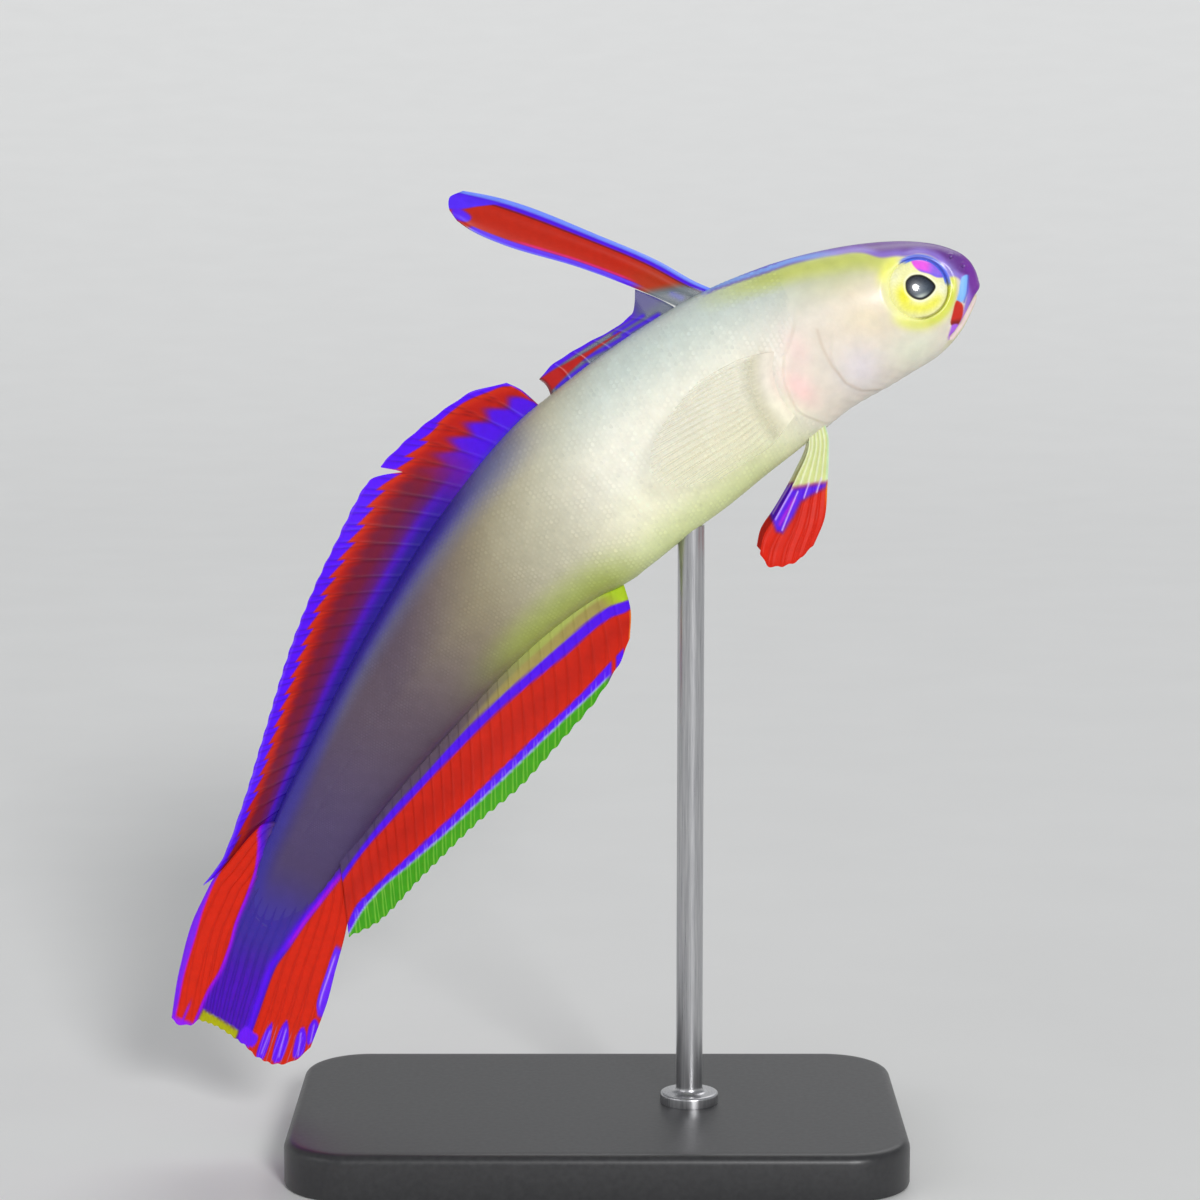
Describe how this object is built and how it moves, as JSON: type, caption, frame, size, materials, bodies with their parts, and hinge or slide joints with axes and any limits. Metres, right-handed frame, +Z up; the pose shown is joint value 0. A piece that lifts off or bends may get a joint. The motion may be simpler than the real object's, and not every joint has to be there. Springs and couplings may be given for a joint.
{
  "type": "purple firefish",
  "caption": "Life-size still model of a purple firefish, head up with its fins spread, held by a rod on a flat display base.",
  "frame": {"origin": "on the floor, under the centre of the whole model's box", "axes": "+Z up, +X towards the fish's head, +Y towards the fish's left side"},
  "size_m": [0.0605, 0.028, 0.0724],
  "materials": {
    "head_skin": "moist pearly cream skin with a violet stripe on the crown",
    "jaw_skin": "moist pale skin with violet lips",
    "trunk_skin": "moist finely scaled skin, pearly in front and purple-grey behind",
    "tail_skin": "moist finely scaled dark violet skin",
    "eye": "clear cornea over a pale yellow iris and a black pupil",
    "lance_fin": "violet and red fin membrane",
    "red_fin": "red fin membrane with violet bands",
    "anal_fin": "red fin membrane with violet stripes and a green margin",
    "tail_fin": "violet and red fin membrane with a yellow edge",
    "clear_fin": "clear fin membrane on pale yellow rays",
    "pelvic_fin": "pale stalk, violet and red fin membrane",
    "stand_base": "satin black",
    "stand_rod": "brushed along its length"
  },
  "bodies": {
    "root": {"head": "head_skin", "lower_jaw": "jaw_skin", "trunk": "trunk_skin", "tail_stalk": "tail_skin", "eye_left": "eye", "eye_right": "eye", "dorsal_lance": "lance_fin", "first_dorsal_rear": "red_fin", "second_dorsal_fin": "red_fin", "anal_fin": "anal_fin", "caudal_fin": "tail_fin", "pectoral_fin_left": "clear_fin", "pectoral_fin_right": "clear_fin", "pelvic_fin_left": "pelvic_fin", "pelvic_fin_right": "pelvic_fin", "stand_base": "stand_base", "stand_rod": "stand_rod"}
  },
  "joints": []
}
